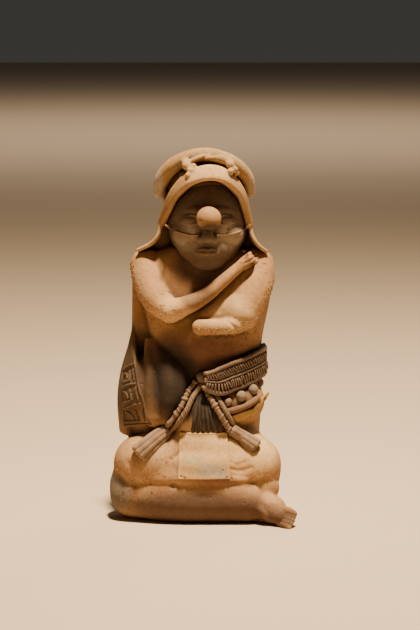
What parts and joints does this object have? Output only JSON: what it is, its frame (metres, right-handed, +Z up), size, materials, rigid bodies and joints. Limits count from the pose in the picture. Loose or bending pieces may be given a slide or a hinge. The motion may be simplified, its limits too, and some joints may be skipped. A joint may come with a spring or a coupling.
{
  "type": "seated clay figurine",
  "caption": "Small fired-clay figure seated cross-legged, arms crossed on the chest, in an arched hood, draped side cloth, bead-edged belt and hanging brushes; one solid piece, flat underneath.",
  "frame": {"origin": "on the ground, under the middle of the figure's box", "axes": "+Z up along the figure's height; the figure faces -Y and its left side, the viewer's right, is towards +X"},
  "size_m": [0.0994, 0.0754, 0.1999],
  "materials": {
    "fired_clay": "matt, dry fired clay with a pale buff skin and darker hollows"
  },
  "bodies": {
    "root": {"clay_figurine": "fired_clay"}
  },
  "joints": []
}
